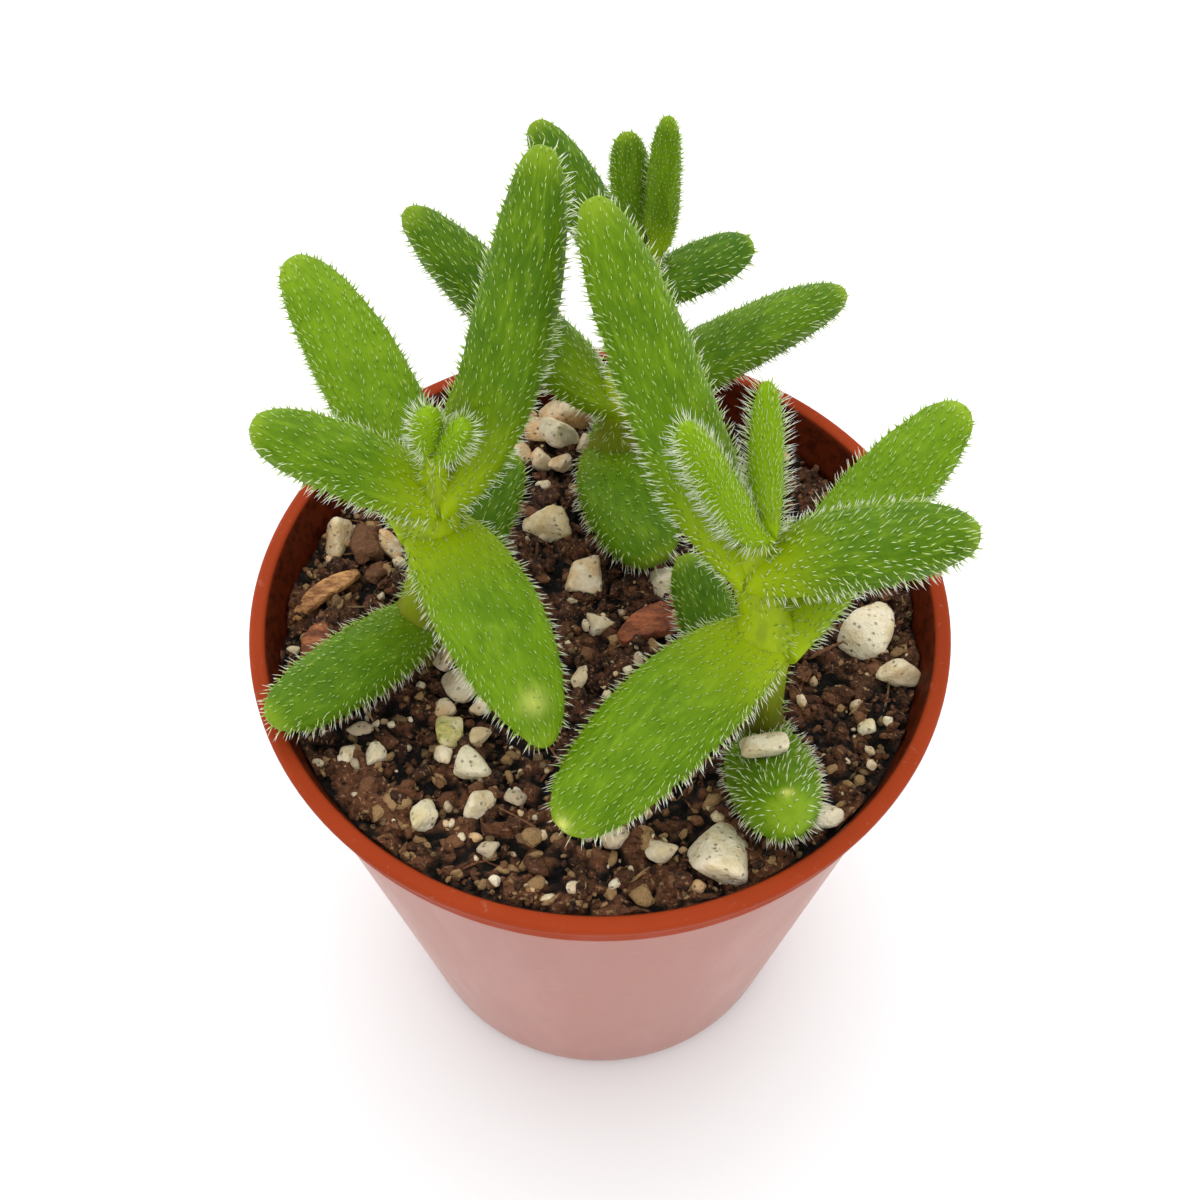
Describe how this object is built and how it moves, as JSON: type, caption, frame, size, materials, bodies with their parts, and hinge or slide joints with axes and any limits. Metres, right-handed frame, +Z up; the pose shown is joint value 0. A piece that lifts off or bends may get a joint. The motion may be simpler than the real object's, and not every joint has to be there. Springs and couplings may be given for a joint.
{
  "type": "potted pickle plant",
  "caption": "Small bristly succulent with upright shoots of plump finger leaves, growing in a gritty soil in a round tapered plastic nursery pot.",
  "frame": {"origin": "centre of the pot's underside, on the surface that the pot stands on", "axes": "+Z up along the pot's axis; -Y towards the front, where the picture was taken from; +X to the right seen from the front"},
  "size_m": [0.055, 0.058, 0.0876],
  "materials": {
    "pot": "satin",
    "soil": "rough",
    "pumice": "rough",
    "bark": "rough",
    "stem": "soft",
    "leaf": "soft",
    "young_leaf": "soft"
  },
  "bodies": {
    "root": {"pot": "pot", "soil": "soil", "pumice_01": "pumice", "pumice_02": "pumice", "pumice_03": "pumice", "pumice_04": "pumice", "pumice_05": "pumice", "pumice_06": "pumice", "pumice_07": "pumice", "pumice_08": "pumice", "pumice_09": "pumice", "pumice_10": "pumice", "pumice_11": "pumice", "pumice_12": "pumice", "pumice_13": "pumice", "pumice_14": "pumice", "pumice_15": "pumice", "pumice_16": "pumice", "pumice_17": "pumice", "pumice_18": "pumice", "pumice_19": "pumice", "pumice_20": "pumice", "pumice_21": "pumice", "pumice_22": "pumice", "pumice_23": "pumice", "bark_1": "bark", "bark_2": "bark", "bark_3": "bark", "stem_left": "stem", "leaf_left_low_a": "leaf", "leaf_left_low_b": "leaf", "leaf_left_middle_a": "leaf", "leaf_left_middle_b": "leaf", "leaf_left_upper_a": "leaf", "leaf_left_upper_b": "leaf", "leaf_left_young_a": "young_leaf", "leaf_left_young_b": "young_leaf", "stem_right": "stem", "leaf_right_low_a": "leaf", "leaf_right_low_b": "leaf", "leaf_right_middle_a": "leaf", "leaf_right_middle_b": "leaf", "leaf_right_upper_a": "leaf", "leaf_right_upper_b": "leaf", "leaf_right_young_a": "young_leaf", "leaf_right_young_b": "young_leaf", "stem_back": "stem", "leaf_back_low_a": "leaf", "leaf_back_low_b": "leaf", "leaf_back_middle_a": "leaf", "leaf_back_middle_b": "leaf", "leaf_back_upper_a": "leaf", "leaf_back_upper_b": "leaf", "leaf_back_young_a": "young_leaf", "leaf_back_young_b": "young_leaf"}
  },
  "joints": []
}
